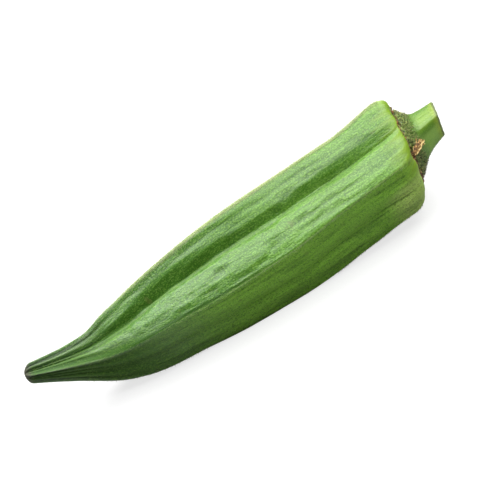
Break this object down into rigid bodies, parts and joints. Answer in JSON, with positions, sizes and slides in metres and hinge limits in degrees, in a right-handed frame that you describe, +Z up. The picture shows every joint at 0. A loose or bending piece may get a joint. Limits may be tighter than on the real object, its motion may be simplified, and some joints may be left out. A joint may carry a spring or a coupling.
{
  "type": "okra pod",
  "caption": "Fresh ribbed okra pod as picked, lying on its side, with a hooked blunt tip, a dried ring round its cap and a short cut stalk.",
  "frame": {"origin": "middle of the part's length and width, on the surface that it lies on", "axes": "+X along the pod from its tip to its cut stalk, +Z up, +Y to its left when looking along +X"},
  "size_m": [0.0964, 0.0226, 0.0243],
  "materials": {
    "pod_skin": "fine velvety skin, mid green, darker at the tip and yellower at the rim",
    "stalk_flesh": "satin yellow green stalk with a pale pith at the cut",
    "dried_scar": "dry brown fibrous crust"
  },
  "bodies": {
    "root": {"pod": "pod_skin", "stalk": "stalk_flesh", "calyx_scar": "dried_scar"}
  },
  "joints": []
}
